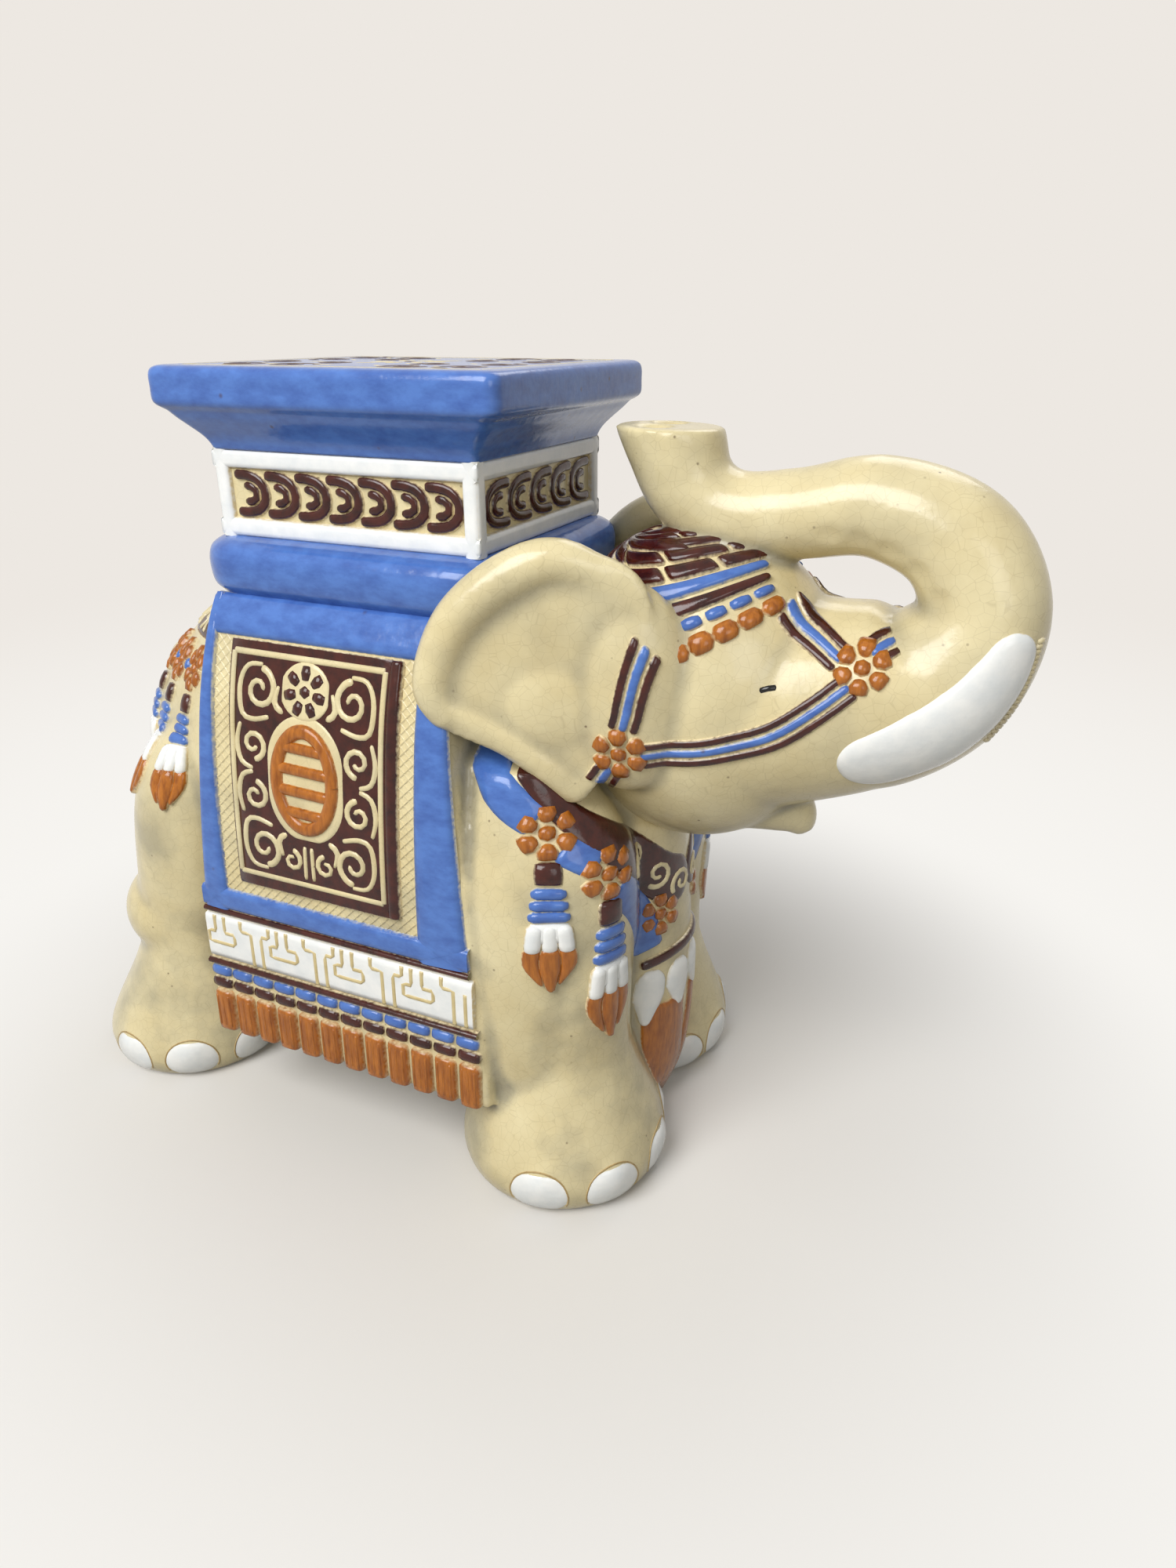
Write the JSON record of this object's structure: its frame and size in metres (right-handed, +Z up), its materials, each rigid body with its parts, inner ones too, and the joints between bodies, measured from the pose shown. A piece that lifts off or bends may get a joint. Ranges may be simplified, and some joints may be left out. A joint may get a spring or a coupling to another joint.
{
  "type": "ceramic elephant side table",
  "caption": "Hollow glazed ceramic elephant with a raised trunk, a fringed saddle cloth and tasselled harness, carrying a flat square seat used as a side table or stool",
  "frame": {"origin": "on the floor, below the middle of the overall length, on the plane that divides left from right", "axes": "+X towards the trunk, +Y towards the elephant's left side, +Z up out of the seat"},
  "size_m": [0.5488, 0.252, 0.43],
  "materials": {
    "glaze_cream": "glossy cream glaze with fine crackle",
    "glaze_blue": "glossy cobalt blue glaze",
    "glaze_iron_brown": "glossy dark iron brown glaze",
    "glaze_amber": "glossy streaked amber glaze",
    "glaze_white": "glossy white glaze"
  },
  "bodies": {
    "root": {"breast_band": "glaze_blue", "bridle_left": "glaze_iron_brown", "bridle_right": "glaze_iron_brown", "bridle_rosettes": "glaze_amber", "brow_band": "glaze_blue", "brow_beads": "glaze_amber", "chest_rosettes": "glaze_amber", "chest_tassel_cups": "glaze_white", "chest_tassel_stems": "glaze_blue", "chest_tassel_tufts": "glaze_amber", "chest_web": "glaze_cream", "cloth_border_left": "glaze_blue", "cloth_border_right": "glaze_blue", "cloth_flap_left": "glaze_cream", "cloth_flap_right": "glaze_cream", "crupper_rosettes": "glaze_amber", "crupper_scroll": "glaze_iron_brown", "crupper_tassel_cups": "glaze_white", "crupper_tassel_stems": "glaze_blue", "crupper_tassel_tufts": "glaze_amber", "ear_left": "glaze_cream", "ear_right": "glaze_cream", "fringe_beads_left": "glaze_amber", "fringe_beads_right": "glaze_amber", "fringe_tabs_left": "glaze_amber", "fringe_tabs_right": "glaze_amber", "head_cap": "glaze_iron_brown", "head_shell": "glaze_cream", "hem_cords_left": "glaze_iron_brown", "hem_cords_right": "glaze_iron_brown", "key_band_left": "glaze_white", "key_band_right": "glaze_white", "leg_front_left": "glaze_cream", "leg_front_right": "glaze_cream", "leg_rear_left": "glaze_cream", "leg_rear_right": "glaze_cream", "lower_lip": "glaze_cream", "medallion_left": "glaze_amber", "medallion_right": "glaze_amber", "neck_fret_front": "glaze_iron_brown", "neck_fret_left": "glaze_iron_brown", "neck_fret_rear": "glaze_iron_brown", "neck_fret_right": "glaze_iron_brown", "saddle_pad": "glaze_blue", "scroll_collar": "glaze_iron_brown", "scroll_panel_left": "glaze_iron_brown", "scroll_panel_right": "glaze_iron_brown", "seat_neck": "glaze_white", "seat_slab": "glaze_blue", "seat_tile": "glaze_iron_brown", "tail": "glaze_cream", "toenails_front_left": "glaze_white", "toenails_front_right": "glaze_white", "toenails_rear_left": "glaze_white", "toenails_rear_right": "glaze_white", "torso_shell": "glaze_cream", "trunk": "glaze_cream", "tusk_left": "glaze_white", "tusk_right": "glaze_white"}
  },
  "joints": []
}
